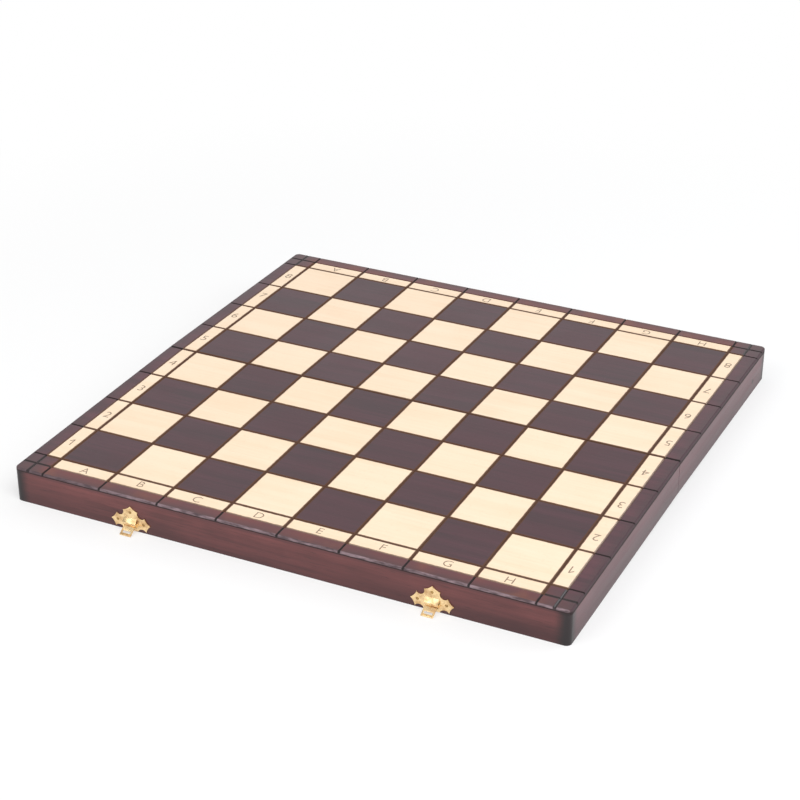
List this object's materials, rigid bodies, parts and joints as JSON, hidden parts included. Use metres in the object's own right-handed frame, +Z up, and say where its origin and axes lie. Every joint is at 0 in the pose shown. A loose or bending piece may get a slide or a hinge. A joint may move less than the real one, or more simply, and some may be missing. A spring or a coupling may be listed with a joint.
{
  "type": "folding chess board",
  "caption": "Folding wooden chess board case: hinged tray halves with stained, grooved playing panels, label strips, butt hinges and star-pointed brass clasps with swinging slotted flaps.",
  "frame": {"origin": "on the table, under the middle of the fold line", "axes": "+X along the fold to the right, +Y across the fold away from the clasps, +Z up out of the playing face"},
  "size_m": [0.42, 0.4325, 0.0291],
  "materials": {
    "playing_panel": "pale birch squares and dark brown stained squares under satin lacquer",
    "stained_rail": "dark reddish brown stain under satin lacquer",
    "felt_lining": "matt felt",
    "hinge_metal": "satin brass",
    "clasp_brass": "bright stamped brass"
  },
  "bodies": {
    "near_half": {"near_panel": "playing_panel", "near_front_rail": "stained_rail", "near_left_rail": "stained_rail", "near_right_rail": "stained_rail", "near_spine_rail": "stained_rail", "near_lining": "felt_lining", "left_hinge_near_leaf": "hinge_metal", "right_hinge_near_leaf": "hinge_metal", "left_hinge_pin": "hinge_metal", "right_hinge_pin": "hinge_metal", "near_hinge_screws": "hinge_metal", "left_clasp_plate": "clasp_brass", "right_clasp_plate": "clasp_brass", "clasp_nails": "clasp_brass"},
    "far_half": {"far_panel": "playing_panel", "far_back_rail": "stained_rail", "far_left_rail": "stained_rail", "far_right_rail": "stained_rail", "far_spine_rail": "stained_rail", "far_lining": "felt_lining", "left_hinge_far_leaf": "hinge_metal", "right_hinge_far_leaf": "hinge_metal", "far_hinge_screws": "hinge_metal", "left_strike_plate": "clasp_brass", "right_strike_plate": "clasp_brass", "strike_nails": "clasp_brass"},
    "left_flap": {"left_clasp_flap": "clasp_brass"},
    "right_flap": {"right_clasp_flap": "clasp_brass"}
  },
  "joints": [
    {"name": "fold", "type": "hinge", "parent": "near_half", "child": "far_half", "pos_m": [0, 0, 0.0023], "axis": [-1, 0, 0], "range_deg": [-1.31, 178.69]},
    {"name": "left_flap_swing", "type": "hinge", "parent": "near_half", "child": "left_flap", "pos_m": [-0.1145, -0.21175, 0.00508], "axis": [-1, 0, 0], "range_deg": [-54.59, 40.41]},
    {"name": "right_flap_swing", "type": "hinge", "parent": "near_half", "child": "right_flap", "pos_m": [0.1145, -0.21175, 0.00508], "axis": [-1, 0, 0], "range_deg": [-54.59, 40.41]}
  ]
}
